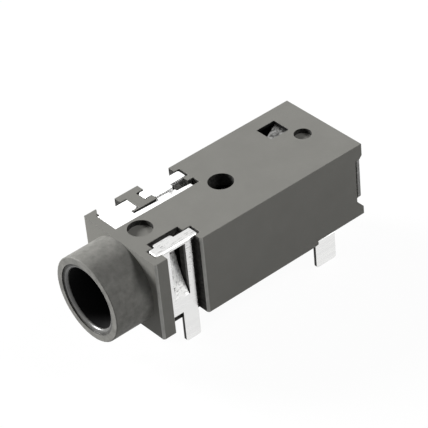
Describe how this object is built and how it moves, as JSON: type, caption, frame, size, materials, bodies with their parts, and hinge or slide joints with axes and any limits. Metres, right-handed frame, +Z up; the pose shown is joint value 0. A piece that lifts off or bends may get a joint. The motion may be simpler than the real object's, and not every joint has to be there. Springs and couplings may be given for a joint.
{
  "type": "audio jack socket",
  "caption": "Horizontal board-mounted socket for a 3.5 mm audio plug: a moulded housing with a round nose and stamped terminals with solder legs.",
  "frame": {"origin": "on the axis of the plug bore, in the plane of the flange's front face", "axes": "+Y along the bore from the mouth to the rear, +Z up from the board, +X to the side of the sleeve terminal"},
  "size_m": [0.006, 0.0169, 0.0065],
  "materials": {
    "moulding": "matte",
    "plated_strip": "satin"
  },
  "bodies": {
    "root": {"housing": "moulding", "sleeve_terminal": "plated_strip", "ring_terminal": "plated_strip", "ring_sense_terminal": "plated_strip", "tip_terminal": "plated_strip", "tip_sense_terminal": "plated_strip"}
  },
  "joints": []
}
